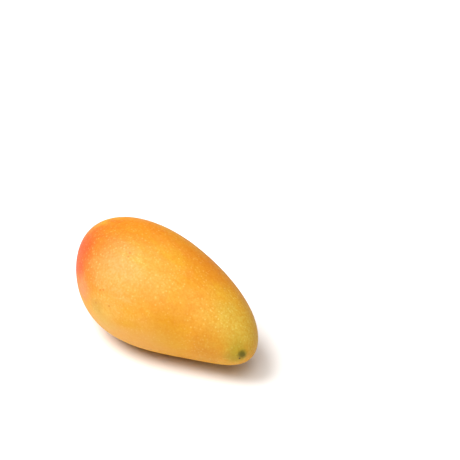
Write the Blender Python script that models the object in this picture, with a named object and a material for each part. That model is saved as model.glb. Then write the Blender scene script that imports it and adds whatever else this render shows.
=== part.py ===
"""A ripe yellow mango, whole, lying on one cheek on a level surface.

The fruit is one solid. It is a sphere of directions, each of which is carried
out to the skin by a few smooth profiles along the fruit: how broad it is from
back to belly, how thick it is from cheek to cheek, and how its middle line
bends towards the beak. The stem scar sits in a shallow basin at the broad end,
and the scar of the flower's style on a low beak at the narrow end.

The fruit is shaped with its length along X, its belly towards -Y and one cheek
towards +Z, and then turned a few degrees into the lie in which it balances.
"""
import math

import bmesh
import bpy
from mathutils import Matrix, Vector

# Size of the fruit in metres
LENGTH = 0.125
BREADTH = 0.0694
THICKNESS = 0.0618

# How the two half widths run along the fruit, as shares of their middle value:
# the taper thins the apex, the second term fills both ends, the third the shoulders
BREADTH_TAPER = -0.217
BREADTH_ENDS = -0.076
BREADTH_SHOULDER = 0.099
THICKNESS_TAPER = -0.347
THICKNESS_ENDS = -0.002
THICKNESS_SHOULDER = 0.107

# How far the middle line moves towards the belly, as shares of the length:
# both ends lie nearer the back, and the apex sweeps forward into the beak
MIDDLE_LINE_BOW = -0.053
MIDDLE_LINE_SWEEP = 0.053
MIDDLE_LINE_HOOK = 0.035

# Ends drawn out a little, flatter cheeks, and a back slightly thicker than the belly
ENDS_DRAWN_OUT = 0.070
CHEEK_FLATNESS = 0.08
BACK_THICKENING = 0.020

# Shallow hollow of the belly before the beak, and the swell of the beak itself:
# each has a height in metres and, as shares of half the length, a place and a spread
HOLLOW_DEPTH = 0.0006
HOLLOW_PLACE = 0.46
HOLLOW_SPREAD = 0.28
BEAK_SWELL = 0.0010
BEAK_PLACE = 0.95
BEAK_SPREAD = 0.22

# Where the two scars sit, as angles from the ends of the long axis
STEM_SCAR_TO_BACK = math.radians(12)
STYLE_SCAR_TO_BELLY = math.radians(15.2)
STYLE_SCAR_TO_CHEEK = math.radians(5.7)

# Stem basin with its corky scar, and the low beak at the apex, in metres
BASIN_DEPTH = 0.0016
BASIN_REACH = 0.0085
STEM_SCAR_HEIGHT = 0.0005
STEM_SCAR_RADIUS = 0.0021
BEAK_HEIGHT = 0.0004
BEAK_REACH = 0.0040

# The lie on the cheek: the apex dips until the fruit balances
APEX_DIP = math.radians(10.3)

# The skin gives a little where it lies, which leaves a small flat spot
REST_SPOT_DEPTH = 0.00035

# Facets round the fruit and along it, and how much closer the rings lie at the scars
SEGMENTS = 64
RINGS = 56
RING_CROWDING = 0.5

SKIN_COLOUR = (0.90, 0.47, 0.06, 1.0)
SKIN_ROUGHNESS = 0.45


def remove_everything():
    for thing in list(bpy.data.objects):
        bpy.data.objects.remove(thing, do_unlink=True)


def new_collection(name):
    collection = bpy.data.collections.new(name)
    bpy.context.scene.collection.children.link(collection)
    return collection


def skin_material():
    material = bpy.data.materials.new("mango_skin")
    material.use_nodes = True
    shader = material.node_tree.nodes["Principled BSDF"]
    shader.inputs["Base Color"].default_value = SKIN_COLOUR
    shader.inputs["Roughness"].default_value = SKIN_ROUGHNESS
    shader.inputs["Metallic"].default_value = 0.0
    return material


def crowded(direction):
    """Move a ring of the sphere closer to the pole that it is near."""
    ring_radius = math.hypot(direction.x, direction.y)
    polar = math.atan2(ring_radius, direction.z)
    polar -= RING_CROWDING * math.sin(2 * polar) / 2
    spin = math.atan2(direction.y, direction.x)
    level = math.sin(polar)
    return Vector((level * math.cos(spin), level * math.sin(spin), math.cos(polar)))


def leant(direction):
    """Lean the sphere so that its two poles come to lie at the two scars."""
    apex_share = (1 + direction.z) / 2
    stem_share = 1 - apex_share
    to_belly = STEM_SCAR_TO_BACK * stem_share + STYLE_SCAR_TO_BELLY * apex_share
    to_cheek = STYLE_SCAR_TO_CHEEK * apex_share
    return Matrix.Rotation(-to_belly, 3, "Y") @ Matrix.Rotation(-to_cheek, 3, "X") @ direction


def bell(distance, reach):
    return math.exp(-(distance / reach) ** 2)


def run_along(along, taper, ends, shoulder):
    return 1 + taper * along + ends * along ** 2 + shoulder * along ** 3


def smooth_skin(direction):
    """Skin point for a unit direction: z to the apex, -x to the belly, y to the cheek."""
    along = direction.z
    belly = -direction.x
    cheek = direction.y + CHEEK_FLATNESS * (direction.y - direction.y ** 3)
    breadth = run_along(along, BREADTH_TAPER, BREADTH_ENDS, BREADTH_SHOULDER)
    thickness = run_along(along, THICKNESS_TAPER, THICKNESS_ENDS, THICKNESS_SHOULDER)
    bend = MIDDLE_LINE_BOW * along ** 2
    bend += MIDDLE_LINE_SWEEP * (along ** 3 - along)
    bend += MIDDLE_LINE_HOOK * along ** 4
    swell = BEAK_SWELL * bell(along - BEAK_PLACE, BEAK_SPREAD)
    swell -= HOLLOW_DEPTH * bell(along - HOLLOW_PLACE, HOLLOW_SPREAD)
    belly_share = ((1 + belly) / 2) ** 2
    return Vector((
        LENGTH / 2 * (along + ENDS_DRAWN_OUT * (along ** 3 - along)),
        -LENGTH * bend - BREADTH / 2 * breadth * belly - swell * belly_share,
        THICKNESS / 2 * thickness * cheek * (1 - BACK_THICKENING * belly),
    ))


def plateau(distance, radius):
    """One inside the radius and nothing outside it, with a rounded edge."""
    return 1 / (1 + (distance / radius) ** 8)


def scarred(point, stem_scar, style_scar, middle):
    """Press the stem basin in and raise the corky scar and the beak."""
    from_stem = (point - stem_scar).length
    from_style = (point - style_scar).length
    at_stem = STEM_SCAR_HEIGHT * plateau(from_stem, STEM_SCAR_RADIUS)
    at_stem -= BASIN_DEPTH * bell(from_stem, BASIN_REACH)
    at_style = BEAK_HEIGHT * bell(from_style, BEAK_REACH)
    moved = point + (stem_scar - middle).normalized() * at_stem
    return moved + (style_scar - middle).normalized() * at_style


def make_mango(collection, material):
    mesh = bpy.data.meshes.new("mango")
    cage = bmesh.new()
    bmesh.ops.create_uvsphere(cage, u_segments=SEGMENTS, v_segments=RINGS, radius=1.0)
    middle = smooth_skin(Vector((0, 0, 0)))
    stem_scar = smooth_skin(leant(Vector((0, 0, -1))))
    style_scar = smooth_skin(leant(Vector((0, 0, 1))))
    for vertex in cage.verts:
        skin = smooth_skin(leant(crowded(vertex.co)))
        vertex.co = scarred(skin, stem_scar, style_scar, middle)
    cage.to_mesh(mesh)
    cage.free()
    mesh.materials.append(material)
    mesh.shade_smooth()
    mango = bpy.data.objects.new("mango", mesh)
    collection.objects.link(mango)
    return mango


def lay_down(mango):
    """Turn the fruit into its lie, centred over the origin with its rest spot at z = 0."""
    mango.rotation_euler = (0, APEX_DIP, 0)
    bpy.context.view_layer.update()
    skin = [mango.matrix_world @ vertex.co for vertex in mango.data.vertices]
    low = Vector([min(point[axis] for point in skin) for axis in range(3)])
    high = Vector([max(point[axis] for point in skin) for axis in range(3)])
    centre = (low + high) / 2
    mango.location = (-centre.x, -centre.y, -low.z - REST_SPOT_DEPTH)


def press_rest_spot(mango, cutters):
    """Take away what would lie below the surface, which leaves the flat rest spot."""
    bpy.ops.mesh.primitive_cube_add(size=LENGTH, location=(0, 0, -LENGTH / 2))
    surface = bpy.context.active_object
    surface.name = "surface_below"
    surface.hide_render = True
    surface.display_type = "WIRE"
    for collection in list(surface.users_collection):
        collection.objects.unlink(surface)
    cutters.objects.link(surface)
    press = mango.modifiers.new("rest_spot", "BOOLEAN")
    press.operation = "DIFFERENCE"
    press.solver = "EXACT"
    press.object = surface


def main():
    remove_everything()
    fruit = new_collection("mango")
    cutters = new_collection("cutters")
    mango = make_mango(fruit, skin_material())
    lay_down(mango)
    press_rest_spot(mango, cutters)


main()
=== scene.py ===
"""The looks of a ripe yellow mango that lies on one cheek: its skin, light and camera.

The skin is a fine copy of the fruit's own form, made by the same profiles as the
solid. Swells under the skin, puckers round the stem, the corky stem scar and the
pit of the style scar are real relief. The blush, the olive tip, the pores and the
small marks are colour, roughness and bump in one material, and some patches of
colour are painted highlight, painted reflection or painted shade.
"""
import math
from collections import namedtuple

import bmesh
import bpy
from mathutils import Euler, Matrix, Vector, noise
from mathutils.bvhtree import BVHTree


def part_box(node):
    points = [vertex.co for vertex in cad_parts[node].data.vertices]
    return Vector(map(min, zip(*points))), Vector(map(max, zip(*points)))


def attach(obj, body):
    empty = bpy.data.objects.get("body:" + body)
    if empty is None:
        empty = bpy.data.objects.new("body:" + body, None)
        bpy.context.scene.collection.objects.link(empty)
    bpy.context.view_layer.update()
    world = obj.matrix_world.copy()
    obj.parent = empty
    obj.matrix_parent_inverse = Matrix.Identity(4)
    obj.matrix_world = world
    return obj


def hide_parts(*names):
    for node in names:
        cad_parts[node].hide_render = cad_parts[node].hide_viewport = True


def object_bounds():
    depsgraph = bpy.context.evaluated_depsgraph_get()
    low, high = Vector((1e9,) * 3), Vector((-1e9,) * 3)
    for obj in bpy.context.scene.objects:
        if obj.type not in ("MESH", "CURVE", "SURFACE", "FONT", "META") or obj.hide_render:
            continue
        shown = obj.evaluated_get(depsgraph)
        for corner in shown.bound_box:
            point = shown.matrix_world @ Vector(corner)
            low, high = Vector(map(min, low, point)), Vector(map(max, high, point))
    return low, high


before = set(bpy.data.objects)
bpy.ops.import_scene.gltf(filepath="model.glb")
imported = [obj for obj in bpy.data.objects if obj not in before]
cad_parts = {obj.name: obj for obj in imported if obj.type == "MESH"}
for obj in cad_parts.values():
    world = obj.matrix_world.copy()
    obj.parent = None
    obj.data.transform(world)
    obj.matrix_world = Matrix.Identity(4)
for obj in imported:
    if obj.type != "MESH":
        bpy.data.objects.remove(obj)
CAD_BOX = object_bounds()

# Size of the fruit in metres
LENGTH = 0.125
BREADTH = 0.0694
THICKNESS = 0.0618

# How the two half widths run along the fruit, as shares of their middle value
BREADTH_TAPER = -0.217
BREADTH_ENDS = -0.076
BREADTH_SHOULDER = 0.099
THICKNESS_TAPER = -0.347
THICKNESS_ENDS = -0.002
THICKNESS_SHOULDER = 0.107

# How far the middle line moves towards the belly, as shares of the length
MIDDLE_LINE_BOW = -0.053
MIDDLE_LINE_SWEEP = 0.053
MIDDLE_LINE_HOOK = 0.035

# Ends drawn out a little, flatter cheeks, and a back slightly thicker than the belly
ENDS_DRAWN_OUT = 0.070
CHEEK_FLATNESS = 0.08
BACK_THICKENING = 0.020

# Shallow hollow of the belly before the beak, and the swell of the beak itself:
# each has a height in metres and, as shares of half the length, a place and a spread
HOLLOW_DEPTH = 0.0006
HOLLOW_PLACE = 0.46
HOLLOW_SPREAD = 0.28
BEAK_SWELL = 0.0010
BEAK_PLACE = 0.95
BEAK_SPREAD = 0.22

# Where the two scars sit, as angles from the ends of the long axis
STEM_SCAR_TO_BACK = math.radians(12)
STYLE_SCAR_TO_BELLY = math.radians(15.2)
STYLE_SCAR_TO_CHEEK = math.radians(5.7)

# Stem basin, corky scar and beak, in metres
BASIN_DEPTH = 0.0016
BASIN_REACH = 0.0085
STEM_SCAR_HEIGHT = 0.0005
STEM_SCAR_RADIUS = 0.0021
BEAK_HEIGHT = 0.0004
BEAK_REACH = 0.0040

# The lie on the cheek and the flat spot under it
APEX_DIP = math.radians(10.3)
REST_SPOT_DEPTH = 0.00035

# How sharp the edge of the stem scar is: the power of its fall from one to nothing
SCAR_EDGE_POWER = 8

# Fine relief of the skin, in metres
SWELL_DEPTH = 0.00020
SWELL_LENGTH = 0.024
DIMPLE_DEPTH = 0.00004
DIMPLE_LENGTH = 0.0065
CORK_RIM_HEIGHT = 0.00035
CORK_RIM_WIDTH = 0.00045
CORK_GRAIN_HEIGHT = 0.00016
CORK_GRAIN_LENGTH = 0.0006
STYLE_PIT_DEPTH = 0.00030
STYLE_PIT_REACH = 0.00055

# How far the swells and dimples are sunk, as a share of their depth
RELIEF_SUNK = 0.5

# Place of the rim of the cork, as a share of the stem scar's radius
CORK_RIM_PLACE = 0.85

# Puckers round the stem: how many, how deep and how far out in metres, the place and
# the spread of their ring as shares of that, and how unevenly they are spaced
PUCKERS = 9
PUCKER_DEPTH = 0.00012
PUCKER_REACH = 0.0085
PUCKER_PLACE = 0.6
PUCKER_SPREAD = 0.4
PUCKER_SKEW = 1.3

# Facets of the fine skin, and how much closer its rings lie at the scars
SEGMENTS = 320
RINGS = 260
RING_CROWDING = 0.5

# The photograph's camera, seen from the middle of the fruit's box
IMAGE_PIXELS = 460
VIEW_AZIMUTH = math.radians(38.82)
VIEW_ELEVATION = math.radians(35.02)
VIEW_ROLL = math.radians(2.35)
VIEW_DISTANCE = 0.932
PIXELS_PER_METRE = 1766
FRUIT_PIXEL = (164.7, 293.1)
SENSOR_WIDTH = 36.0

# Pixels of the photograph where the marks on the skin show
GREEN_SPOT_PIXEL = (242.3, 354.4)
STYLE_SCAR_PIXEL = (239.6, 358.6)
FRECKLE_PIXELS = (
    (128.4, 256.6), (129.8, 253.0), (100.1, 290.0), (103.4, 289.8), (86.2, 242.5),
    (82.6, 270.0), (96.0, 303.0), (109.0, 306.0), (103.5, 226.9),
)

# Colours of the skin, as linear light
RIPE_YELLOW = (0.625, 0.325, 0.018, 1)
RIPE_ORANGE = (0.625, 0.265, 0.006, 1)
DARK_GOLD = (0.54, 0.225, 0.001, 1)
# Also laid along the top edge as painted shade, over the skin's own deeper orange there
DEEP_ORANGE = (0.61, 0.155, 0.0026, 1)
PORE_LIGHT = (0.055, 0.125, 0.055, 1)
GRAIN_TINT = (0.94, 0.77, 0.40, 1)
BLUSH_ORANGE = (0.651, 0.134, 0.0051, 1)
BLUSH_RED = (0.66, 0.040, 0.001, 1)
# Painted sheen and highlight in pale peach, with some waxy bloom
PEACH_BLOOM_AND_PAINTED_SHEEN = (0.686, 0.338, 0.0935, 1)
# Painted reflection of the pale floor, in pink
PINK_PAINTED_REFLECTION = (0.70, 0.28, 0.150, 1)
PALE_OLIVE = (0.53, 0.385, 0.055, 1)
# Olive of the halo round the green spot, partly painted shade under the tip
OLIVE_HALO_AND_PAINTED_SHADE = (0.29, 0.249, 0.0068, 1)
SPOT_GREEN = (0.105, 0.088, 0.0015, 1)
SCAR_BROWN = (0.088, 0.0401, 0.0085, 1)
CORK_BROWN = (0.250, 0.140, 0.060, 1)
CORK_DARK = (0.100, 0.050, 0.020, 1)
FRECKLE_BROWN = (0.422, 0.107, 0.0051, 1)
RUSSET_OLIVE = (0.396, 0.223, 0.017, 1)

# Soft patches of colour: the pixel at the middle, how far the patch is even and
# where it has faded out in metres, its share at the middle, and its colour.
# Some are painted highlight, painted reflection or painted shade, as said above each.
Patch = namedtuple("Patch", "middle core reach share colour")
PATCHES = (
    Patch((112.0, 318.0), 0.002, 0.022, 0.60, RIPE_YELLOW),
    Patch((158.0, 340.0), 0.002, 0.026, 0.60, RIPE_YELLOW),
    Patch((185.0, 318.0), 0.002, 0.022, 0.50, RIPE_ORANGE),
    # Deep orange along the top edge: partly the skin's own orange, partly painted shade
    Patch((140.0, 226.0), 0.006, 0.034, 0.55, DEEP_ORANGE),
    Patch((205.0, 262.0), 0.004, 0.024, 0.50, DEEP_ORANGE),
    Patch((211.0, 343.0), 0.002, 0.019, 0.56, DEEP_ORANGE),
    Patch((92.0, 265.0), 0.006, 0.034, 0.62, DEEP_ORANGE),
    Patch((86.0, 257.0), 0.006, 0.036, 0.76, BLUSH_ORANGE),
    Patch((80.0, 254.0), 0.005, 0.020, 0.62, BLUSH_RED),
    Patch((80.0, 272.0), 0.001, 0.010, 0.30, BLUSH_RED),
    # Painted highlight along the upper cheek and the ridge, with some pale waxy bloom
    Patch((116.0, 270.0), 0.004, 0.026, 0.60, PEACH_BLOOM_AND_PAINTED_SHEEN),
    Patch((142.0, 278.0), 0.004, 0.034, 0.42, PEACH_BLOOM_AND_PAINTED_SHEEN),
    Patch((198.0, 306.0), 0.004, 0.020, 0.22, PEACH_BLOOM_AND_PAINTED_SHEEN),
    # Painted reflection of the pale floor on the lower left rim
    Patch((83.0, 288.0), 0.001, 0.012, 0.38, PINK_PAINTED_REFLECTION),
    Patch((108.0, 250.0), 0.003, 0.016, 0.26, DEEP_ORANGE),
    Patch((236.0, 328.0), 0.005, 0.030, 0.75, PALE_OLIVE),
    # Olive halo round the green spot, partly painted shade under the tip
    Patch((236.5, 355.0), 0.0020, 0.0090, 0.45, OLIVE_HALO_AND_PAINTED_SHADE),
    Patch((233.0, 348.0), 0.0020, 0.0120, 0.26, OLIVE_HALO_AND_PAINTED_SHADE),
    # Painted reflection low on the left, in pale peach
    Patch((104.0, 318.0), 0.004, 0.018, 0.50, PEACH_BLOOM_AND_PAINTED_SHEEN),
    Patch((140.0, 340.0), 0.004, 0.022, 0.40, PEACH_BLOOM_AND_PAINTED_SHEEN),
    # More deep orange at the top edge, partly painted shade
    Patch((113.0, 225.0), 0.002, 0.014, 0.40, DEEP_ORANGE),
    Patch((172.0, 322.0), 0.003, 0.019, 0.33, DARK_GOLD),
    Patch((211.0, 345.0), 0.003, 0.015, 0.50, DARK_GOLD),
    Patch((100.0, 311.0), 0.003, 0.017, 0.42, PALE_OLIVE),
    Patch((95.5, 305.0), 0.002, 0.009, 0.36, RUSSET_OLIVE),
)

# More patches, on the far side: each middle is a direction from the middle of the
# fruit, whose parts are away from the belly, up to the cheek and on to the apex
FAR_PATCHES = (
    Patch((-0.45, 0.15, -0.88), 0.006, 0.034, 0.70, BLUSH_ORANGE),
    Patch((-0.30, 0.10, -0.95), 0.003, 0.022, 0.60, BLUSH_RED),
    Patch((0.90, 0.10, -0.40), 0.006, 0.036, 0.50, RIPE_ORANGE),
    Patch((0.70, -0.60, 0.10), 0.006, 0.030, 0.50, RIPE_YELLOW),
    Patch((0.75, 0.20, 0.60), 0.006, 0.030, 0.40, DEEP_ORANGE),
    Patch((0.10, -0.90, -0.30), 0.006, 0.036, 0.40, DEEP_ORANGE),
)

# Ragged edges of the patches: how far they stray, as a share of the reach of the
# patch, and the size of the rags in metres
PATCH_RAGGED = 0.9
RAGGED_SIZE = 0.008

# Patterns of the skin, in metres
CLOUD_SIZE = 0.022
STREAK_SIZE = 0.0045
GRAIN_SIZE = 0.0013
MOTTLE_SIZE = 0.0028
PEEL_SIZE = 0.0009
RIPPLE_SIZE = 0.003

# How many times clouds and streaks are drawn out along the fruit, and how detailed
# the plain and the finer patterns are
STREAK_DRAWN_OUT = 4.5
PLAIN_DETAIL = 2
FINER_DETAIL = 3

# Between which values of a pattern its mask rises from nothing to one
CLOUD_STEP = (0.38, 0.62)
STREAK_STEP = (0.35, 0.65)
GRAIN_STEP = (0.36, 0.66)
CORK_STEP = (0.30, 0.70)

# Pale pores: their sizes in metres, the steps of their own strength and of the areas
# that hold more of them, and the shares that the weakest pore and the barest area keep
PORE_SPACING = 0.00170
PORE_RADIUS = 0.00080
PORE_CORE = 0.00010
PORE_AREA_SIZE = 0.020
PORE_STEP = (0.25, 0.75)
PORE_AREA_STEP = (0.30, 0.65)
WEAKEST_PORE = 0.3
BAREST_AREA = 0.4

# The skin is smoother low down, between two heights in metres, where the patterns keep
# a share of their strength, and more marked round the green spot
SMOOTH_BELOW = 0.018
ROUGH_ABOVE = 0.048
SMOOTH_SHARE = 0.35
TIP_CORE = 0.008
TIP_REACH = 0.045
TIP_TEXTURE = 0.65

# Share of each pattern and mark in the colour of the skin
CLOUD_SHARE = 0.50
STREAK_SHARE = 0.30
MOTTLE_SHARE = 0.36
GRAIN_SHARE = 0.55
PORE_SHARE = 0.85
SPOT_SHARE = 0.93
FRECKLE_SHARE = 0.60
STEM_HALO_SHARE = 0.45

# Small marks, in metres
SPOT_CORE = 0.0010
SPOT_REACH = 0.0036
SPOT_RAGGED = 0.0018
FRECKLE_CORE = 0.0002
FRECKLE_REACH = 0.0011
STEM_HALO_REACH = 0.0055
STYLE_POINT_CORE = 0.0003
STYLE_POINT_REACH = 0.0008

# Where the brown of the cork is full and where it ends, as shares of the scar's radius
CORK_FULL = 0.95
CORK_END = 1.25

# How the skin takes the light, with lengths in metres
SKIN_ROUGHNESS = 0.58
GRAIN_ROUGHNESS = 0.06
CORK_ROUGHNESS = 0.30
SKIN_IOR = 1.33
SUBSURFACE_WEIGHT = 0.10
SUBSURFACE_RADIUS = (1.0, 0.45, 0.12)
SUBSURFACE_SCALE = 0.003
COAT_WEIGHT = 0.03
COAT_ROUGHNESS = 0.35
BUMP_STRENGTH = 0.5
BUMP_DISTANCE = 0.00012

# Depth of a pore in the bump, as a share of the height of a ripple
PORE_BUMP = 0.4

# Light of the studio and the floor, with places and sizes in metres
SKY_COLOUR = (1.0, 0.83, 0.66, 1)
SKY_STRENGTH = 0.25
Lamp = namedtuple("Lamp", "name place size watts")
LAMPS = (
    Lamp("key_light", (-1.20, -1.05, 2.30), 2.20, 99.0),
    Lamp("top_light", (0.45, -1.20, 2.40), 2.20, 43.0),
    Lamp("wide_light", (0.0, 0.0, 2.50), 5.00, 28.0),
)
FLOOR_COLOUR = (0.86, 0.86, 0.86, 1)
FLOOR_ROUGHNESS = 0.6
FLOOR_HALF_WIDTH = 4.0


# Form of the fruit

def crowded(direction):
    """Move a ring of the sphere closer to the pole that it is near."""
    ring_radius = math.hypot(direction.x, direction.y)
    polar = math.atan2(ring_radius, direction.z)
    polar -= RING_CROWDING * math.sin(2 * polar) / 2
    spin = math.atan2(direction.y, direction.x)
    level = math.sin(polar)
    return Vector((level * math.cos(spin), level * math.sin(spin), math.cos(polar)))


def leant(direction):
    """Lean the sphere so that its two poles come to lie at the two scars."""
    apex_share = (1 + direction.z) / 2
    stem_share = 1 - apex_share
    to_belly = STEM_SCAR_TO_BACK * stem_share + STYLE_SCAR_TO_BELLY * apex_share
    to_cheek = STYLE_SCAR_TO_CHEEK * apex_share
    return Matrix.Rotation(-to_belly, 3, "Y") @ Matrix.Rotation(-to_cheek, 3, "X") @ direction


def bell(distance, reach):
    return math.exp(-(distance / reach) ** 2)


def run_along(along, taper, ends, shoulder):
    return 1 + taper * along + ends * along ** 2 + shoulder * along ** 3


def smooth_skin(direction):
    """Skin point for a unit direction: z to the apex, -x to the belly, y to the cheek."""
    along = direction.z
    belly = -direction.x
    cheek = direction.y + CHEEK_FLATNESS * (direction.y - direction.y ** 3)
    breadth = run_along(along, BREADTH_TAPER, BREADTH_ENDS, BREADTH_SHOULDER)
    thickness = run_along(along, THICKNESS_TAPER, THICKNESS_ENDS, THICKNESS_SHOULDER)
    bend = MIDDLE_LINE_BOW * along ** 2
    bend += MIDDLE_LINE_SWEEP * (along ** 3 - along)
    bend += MIDDLE_LINE_HOOK * along ** 4
    swell = BEAK_SWELL * bell(along - BEAK_PLACE, BEAK_SPREAD)
    swell -= HOLLOW_DEPTH * bell(along - HOLLOW_PLACE, HOLLOW_SPREAD)
    belly_share = ((1 + belly) / 2) ** 2
    return Vector((
        LENGTH / 2 * (along + ENDS_DRAWN_OUT * (along ** 3 - along)),
        -LENGTH * bend - BREADTH / 2 * breadth * belly - swell * belly_share,
        THICKNESS / 2 * thickness * cheek * (1 - BACK_THICKENING * belly),
    ))


def plateau(distance, radius):
    """One inside the radius and nothing outside it, with a rounded edge."""
    return 1 / (1 + (distance / radius) ** SCAR_EDGE_POWER)


def stem_end_relief(from_stem, spin, point):
    """Height of the puckered basin and of the corky scar with its rim."""
    height = -BASIN_DEPTH * bell(from_stem, BASIN_REACH)
    ring = bell(from_stem - PUCKER_REACH * PUCKER_PLACE, PUCKER_REACH * PUCKER_SPREAD)
    turn = PUCKERS * spin + PUCKER_SKEW * math.sin(2 * spin)
    height += PUCKER_DEPTH * ring * math.cos(turn)
    cork = plateau(from_stem, STEM_SCAR_RADIUS)
    height += STEM_SCAR_HEIGHT * cork
    height += CORK_RIM_HEIGHT * bell(from_stem - STEM_SCAR_RADIUS * CORK_RIM_PLACE, CORK_RIM_WIDTH)
    return height + CORK_GRAIN_HEIGHT * cork * noise.noise(point / CORK_GRAIN_LENGTH)


def fine_relief(point, from_stem):
    """Height of the soft swells and dimples, which mostly lie below the plain form."""
    swell = SWELL_DEPTH * (noise.noise(point / SWELL_LENGTH) - RELIEF_SUNK)
    dimple = DIMPLE_DEPTH * (noise.noise(point / DIMPLE_LENGTH) - RELIEF_SUNK)
    return (swell + dimple) * (1 - bell(from_stem, BASIN_REACH))


def shape_fruit(form):
    """Carry every point of a unit sphere out to the skin, in the fruit's own axes."""
    middle = smooth_skin(Vector((0, 0, 0)))
    stem_scar = smooth_skin(leant(Vector((0, 0, -1))))
    style_scar = smooth_skin(leant(Vector((0, 0, 1))))
    for vertex in form.verts:
        spin = math.atan2(vertex.co.y, vertex.co.x)
        point = smooth_skin(leant(crowded(vertex.co)))
        from_stem = (point - stem_scar).length
        at_stem = stem_end_relief(from_stem, spin, point)
        at_style = BEAK_HEIGHT * bell((point - style_scar).length, BEAK_REACH)
        outward = (point - middle).normalized()
        vertex.co = point + outward * fine_relief(point, from_stem)
        vertex.co += (stem_scar - middle).normalized() * at_stem
        vertex.co += (style_scar - middle).normalized() * at_style
    return stem_scar


def lay_down(form):
    """Turn the fruit into its lie, centre it as the solid is and press its rest spot flat.

    Gives the matrix that carries a point of the fruit's own axes along with it.
    """
    lie = Euler((0, APEX_DIP, 0)).to_matrix().to_4x4()
    bmesh.ops.transform(form, matrix=lie, verts=form.verts)
    low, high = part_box("mango")
    xs = [vertex.co.x for vertex in form.verts]
    ys = [vertex.co.y for vertex in form.verts]
    zs = [vertex.co.z for vertex in form.verts]
    shift = Vector((
        (low.x + high.x) / 2 - (min(xs) + max(xs)) / 2,
        (low.y + high.y) / 2 - (min(ys) + max(ys)) / 2,
        low.z - min(zs) - REST_SPOT_DEPTH,
    ))
    bmesh.ops.translate(form, vec=shift, verts=form.verts)
    for vertex in form.verts:
        vertex.co.z = max(vertex.co.z, low.z)
    return Matrix.Translation(shift) @ lie


# Camera, and the places on the skin that it sees at the photograph's pixels

def view_ray(pixel):
    """Direction of a pixel in the camera's own axes."""
    focal_pixels = PIXELS_PER_METRE * VIEW_DISTANCE
    return Vector((pixel[0] - IMAGE_PIXELS / 2, IMAGE_PIXELS / 2 - pixel[1], -focal_pixels))


def make_camera():
    low, high = CAD_BOX
    middle = (Vector(low) + Vector(high)) / 2
    back = Vector((
        math.sin(VIEW_AZIMUTH) * math.cos(VIEW_ELEVATION),
        -math.cos(VIEW_AZIMUTH) * math.cos(VIEW_ELEVATION),
        math.sin(VIEW_ELEVATION),
    ))
    level = Vector((math.cos(VIEW_AZIMUTH), math.sin(VIEW_AZIMUTH), 0))
    upright = back.cross(level)
    right = level * math.cos(VIEW_ROLL) + upright * math.sin(VIEW_ROLL)
    up = upright * math.cos(VIEW_ROLL) - level * math.sin(VIEW_ROLL)
    facing = Matrix((right, up, back)).transposed()
    aim = view_ray(FRUIT_PIXEL).rotation_difference(Vector((0, 0, -1))).to_matrix()
    data = bpy.data.cameras.new("camera")
    data.sensor_width = SENSOR_WIDTH
    data.lens = SENSOR_WIDTH * PIXELS_PER_METRE * VIEW_DISTANCE / IMAGE_PIXELS
    camera = bpy.data.objects.new("camera", data)
    place = Matrix.Translation(middle + back * VIEW_DISTANCE)
    camera.matrix_world = place @ (facing @ aim).to_4x4()
    bpy.context.scene.collection.objects.link(camera)
    bpy.context.scene.camera = camera
    return camera


def on_skin(tree, camera, pixel):
    """Point of the skin that shows at a pixel of the photograph."""
    place = camera.matrix_world
    ray = place.to_3x3() @ view_ray(pixel).normalized()
    return tree.ray_cast(place.translation, ray)[0]


# Shader maths

# The middle value of a noise, and the places of a Mix node's sockets for colours
NOISE_MIDDLE = 0.5
MIX_FACTOR = 0
MIX_FIRST = 6
MIX_SECOND = 7
MIX_RESULT = 2


class Link:
    """A node's output. Arithmetic on it adds the Math nodes."""

    def __init__(self, paint, socket):
        self.paint = paint
        self.socket = socket

    def math(self, operation, first, second):
        return self.paint.node("ShaderNodeMath", {"operation": operation}, {0: first, 1: second})

    def __add__(self, other):
        return self.math("ADD", self, other)

    def __sub__(self, other):
        return self.math("SUBTRACT", self, other)

    def __rsub__(self, other):
        return self.math("SUBTRACT", other, self)

    def __mul__(self, other):
        return self.math("MULTIPLY", self, other)

    __radd__ = __add__
    __rmul__ = __mul__


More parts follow.
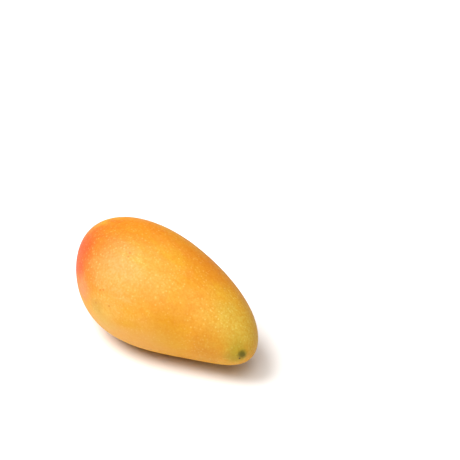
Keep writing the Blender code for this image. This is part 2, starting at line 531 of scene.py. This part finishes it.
class Paint:
    """The node tree of one material."""

    def __init__(self, name):
        self.material = bpy.data.materials.new(name)
        self.material.use_nodes = True
        self.tree = self.material.node_tree
        self.tree.nodes.clear()

    def node(self, kind, settings, inputs, output=0):
        """Add a node: its settings first, then its values and links."""
        node = self.tree.nodes.new(kind)
        for name, value in settings.items():
            setattr(node, name, value)
        for key, value in inputs.items():
            if isinstance(value, Link):
                self.tree.links.new(value.socket, node.inputs[key])
            else:
                node.inputs[key].default_value = value
        return Link(self, node.outputs[output]) if node.outputs else None

    def place(self):
        return self.node("ShaderNodeTexCoord", {}, {}, "Object")

    def height(self, place):
        """How high the place is above the floor."""
        return self.node("ShaderNodeSeparateXYZ", {}, {"Vector": place}, "Z")

    def drawn_out(self, place, turn, times):
        """The place on the skin, with patterns drawn out along the turned X axis."""
        inputs = {"Vector": place, "Rotation": turn, "Scale": (1 / times, 1, 1)}
        return self.node("ShaderNodeMapping", {}, inputs)

    def noise(self, place, size, detail=PLAIN_DETAIL):
        inputs = {"Vector": place, "Scale": 1 / size, "Detail": detail}
        return self.node("ShaderNodeTexNoise", {}, inputs)

    def sway(self, place, size, detail=PLAIN_DETAIL):
        """Soft noise that goes as far below zero as above it."""
        return self.noise(place, size, detail) - NOISE_MIDDLE

    def cells(self, place, size, output):
        """Of scattered points: how far the nearest is, in spacings, or its random colour."""
        inputs = {"Vector": place, "Scale": 1 / size}
        return self.node("ShaderNodeTexVoronoi", {}, inputs, output)

    def distance(self, first, second):
        settings = {"operation": "DISTANCE"}
        return self.node("ShaderNodeVectorMath", settings, {0: first, 1: second}, "Value")

    def smooth(self, value, start, end):
        """Nothing at start, one at end, and a soft step between them."""
        inputs = {"Value": value, "From Min": start, "From Max": end}
        return self.node("ShaderNodeMapRange", {"interpolation_type": "SMOOTHSTEP"}, inputs)

    def mix(self, factor, first, second, blend="MIX"):
        settings = {"data_type": "RGBA", "blend_type": blend}
        inputs = {MIX_FACTOR: factor, MIX_FIRST: first, MIX_SECOND: second}
        return self.node("ShaderNodeMix", settings, inputs, MIX_RESULT)


# Colours and patterns of the skin, one over the other

def ripe_colour(paint, drawn):
    """Yellow with clouds and long streaks of orange."""
    clouds = paint.smooth(paint.noise(drawn, CLOUD_SIZE, FINER_DETAIL), *CLOUD_STEP)
    streaks = paint.smooth(paint.noise(drawn, STREAK_SIZE, FINER_DETAIL), *STREAK_STEP)
    orange = clouds * CLOUD_SHARE + streaks * STREAK_SHARE
    return paint.mix(orange, RIPE_YELLOW, RIPE_ORANGE)


def with_patches(paint, colour, place, drawn, middles):
    """Lay the soft ragged patches over the colour, the far ones first."""
    ragged = paint.sway(drawn, RAGGED_SIZE, FINER_DETAIL) * PATCH_RAGGED
    for patch, middle in zip(FAR_PATCHES + PATCHES, middles):
        away = paint.distance(place, middle) + ragged * patch.reach
        mask = paint.smooth(away, patch.reach, patch.core)
        colour = paint.mix(mask * patch.share, colour, patch.colour)
    return colour


def pore_mask(paint, place):
    """Scattered pores, each of its own strength, denser in some areas than in others."""
    to_pore = paint.cells(place, PORE_SPACING, "Distance")
    pore = paint.smooth(to_pore, PORE_RADIUS / PORE_SPACING, PORE_CORE / PORE_SPACING)
    strong = paint.smooth(paint.cells(place, PORE_SPACING, "Color"), *PORE_STEP)
    plenty = paint.smooth(paint.noise(place, PORE_AREA_SIZE), *PORE_AREA_STEP)
    pore = pore * (strong * (1 - WEAKEST_PORE) + WEAKEST_PORE)
    return pore * (plenty * (1 - BAREST_AREA) + BAREST_AREA)


def with_texture(paint, colour, place, green_spot):
    """Grain, mottle and pores on the colour, and the masks of the grain and the pores."""
    aloft = paint.smooth(paint.height(place), SMOOTH_BELOW, ROUGH_ABOVE)
    near_tip = paint.smooth(paint.distance(place, green_spot), TIP_REACH, TIP_CORE)
    uneven = aloft * (1 - SMOOTH_SHARE) + SMOOTH_SHARE
    texture = uneven + near_tip * TIP_TEXTURE
    grain = paint.smooth(paint.noise(place, GRAIN_SIZE), *GRAIN_STEP) * texture
    colour = paint.mix(grain * GRAIN_SHARE, colour, GRAIN_TINT, "MULTIPLY")
    mottle = paint.smooth(paint.noise(place, MOTTLE_SIZE), *GRAIN_STEP) * uneven
    colour = paint.mix(mottle * MOTTLE_SHARE, colour, GRAIN_TINT, "MULTIPLY")
    pore = pore_mask(paint, place) * texture
    return paint.mix(pore * PORE_SHARE, colour, PORE_LIGHT, "ADD"), grain, pore


def with_small_marks(paint, colour, place, marks):
    """The green spot, the dark point of the style scar and the freckles."""
    to_spot = paint.distance(place, marks["green_spot"])
    to_spot = to_spot + paint.sway(place, SPOT_RAGGED) * SPOT_RAGGED
    spot = paint.smooth(to_spot, SPOT_REACH, SPOT_CORE)
    colour = paint.mix(spot * SPOT_SHARE, colour, SPOT_GREEN)
    to_point = paint.distance(place, marks["style_scar"])
    point = paint.smooth(to_point, STYLE_POINT_REACH, STYLE_POINT_CORE)
    colour = paint.mix(point, colour, SCAR_BROWN)
    for middle in marks["freckles"]:
        freckle = paint.smooth(paint.distance(place, middle), FRECKLE_REACH, FRECKLE_CORE)
        colour = paint.mix(freckle * FRECKLE_SHARE, colour, FRECKLE_BROWN)
    return colour


def with_stem_scar(paint, colour, place, stem_scar):
    """Russet halo and grainy cork at the stem, and the mask of the cork."""
    to_stem = paint.distance(place, stem_scar)
    around = paint.smooth(to_stem, STEM_HALO_REACH, STEM_SCAR_RADIUS)
    colour = paint.mix(around * STEM_HALO_SHARE, colour, RUSSET_OLIVE)
    cork = paint.smooth(to_stem, STEM_SCAR_RADIUS * CORK_END, STEM_SCAR_RADIUS * CORK_FULL)
    grain = paint.smooth(paint.noise(place, CORK_GRAIN_LENGTH, FINER_DETAIL), *CORK_STEP)
    return paint.mix(cork, colour, paint.mix(grain, CORK_DARK, CORK_BROWN)), cork


def skin_material(marks, middles):
    paint = Paint("mango_skin")
    place = paint.place()
    drawn = paint.drawn_out(place, (0, -APEX_DIP, 0), STREAK_DRAWN_OUT)
    colour = with_patches(paint, ripe_colour(paint, drawn), place, drawn, middles)
    colour, grain, pore = with_texture(paint, colour, place, marks["green_spot"])
    colour = with_small_marks(paint, colour, place, marks)
    colour, cork = with_stem_scar(paint, colour, place, marks["stem_scar"])
    roughness = SKIN_ROUGHNESS + grain * GRAIN_ROUGHNESS + cork * CORK_ROUGHNESS
    height = paint.noise(place, RIPPLE_SIZE) + paint.noise(place, PEEL_SIZE) - pore * PORE_BUMP
    inputs = {"Strength": BUMP_STRENGTH, "Distance": BUMP_DISTANCE, "Height": height}
    bump = paint.node("ShaderNodeBump", {}, inputs)
    shader = paint.node("ShaderNodeBsdfPrincipled", {}, {
        "Base Color": colour,
        "Roughness": roughness,
        "Normal": bump,
        "IOR": SKIN_IOR,
        "Subsurface Weight": SUBSURFACE_WEIGHT,
        "Subsurface Radius": SUBSURFACE_RADIUS,
        "Subsurface Scale": SUBSURFACE_SCALE,
        "Coat Weight": COAT_WEIGHT,
        "Coat Roughness": COAT_ROUGHNESS,
    })
    paint.node("ShaderNodeOutputMaterial", {}, {"Surface": shader})
    return paint.material


def floor_material():
    paint = Paint("pale_floor")
    inputs = {"Base Color": FLOOR_COLOUR, "Roughness": FLOOR_ROUGHNESS}
    shader = paint.node("ShaderNodeBsdfPrincipled", {}, inputs)
    paint.node("ShaderNodeOutputMaterial", {}, {"Surface": shader})
    return paint.material


# The fruit's skin

def make_skin(camera):
    form = bmesh.new()
    bmesh.ops.create_uvsphere(form, u_segments=SEGMENTS, v_segments=RINGS, radius=1.0)
    stem_scar = shape_fruit(form)
    to_lie = lay_down(form)
    tree = BVHTree.FromBMesh(form)
    marks = {
        "stem_scar": to_lie @ stem_scar,
        "style_scar": on_skin(tree, camera, STYLE_SCAR_PIXEL),
        "green_spot": on_skin(tree, camera, GREEN_SPOT_PIXEL),
        "freckles": [on_skin(tree, camera, pixel) for pixel in FRECKLE_PIXELS],
    }
    middles = [to_lie @ smooth_skin(Vector(patch.middle).normalized()) for patch in FAR_PATCHES]
    middles += [on_skin(tree, camera, patch.middle) for patch in PATCHES]
    form.normal_update()
    for vertex in form.verts:
        from_style = (vertex.co - marks["style_scar"]).length
        vertex.co -= vertex.normal * STYLE_PIT_DEPTH * bell(from_style, STYLE_PIT_REACH)
    mesh = bpy.data.meshes.new("skin")
    form.to_mesh(mesh)
    form.free()
    mesh.shade_smooth()
    mesh.materials.append(skin_material(marks, middles))
    skin = bpy.data.objects.new("mango_skin", mesh)
    bpy.context.scene.collection.objects.link(skin)
    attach(skin, "root")
    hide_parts("mango")


# Floor and light

def make_floor():
    ground = bmesh.new()
    bmesh.ops.create_grid(ground, x_segments=1, y_segments=1, size=FLOOR_HALF_WIDTH)
    mesh = bpy.data.meshes.new("floor")
    ground.to_mesh(mesh)
    ground.free()
    mesh.materials.append(floor_material())
    floor = bpy.data.objects.new("floor", mesh)
    bpy.context.scene.collection.objects.link(floor)


def light_studio():
    world = bpy.data.worlds.new("studio")
    world.use_nodes = True
    background = world.node_tree.nodes["Background"]
    background.inputs["Color"].default_value = SKY_COLOUR
    background.inputs["Strength"].default_value = SKY_STRENGTH
    bpy.context.scene.world = world
    for lamp in LAMPS:
        data = bpy.data.lights.new(lamp.name, "AREA")
        data.shape = "DISK"
        data.size = lamp.size
        data.energy = lamp.watts
        light = bpy.data.objects.new(lamp.name, data)
        light.location = lamp.place
        light.rotation_euler = (-Vector(lamp.place)).to_track_quat("-Z", "Y").to_euler()
        bpy.context.scene.collection.objects.link(light)
    bpy.context.scene.view_settings.view_transform = "Standard"


camera = make_camera()
make_skin(camera)
make_floor()
light_studio()
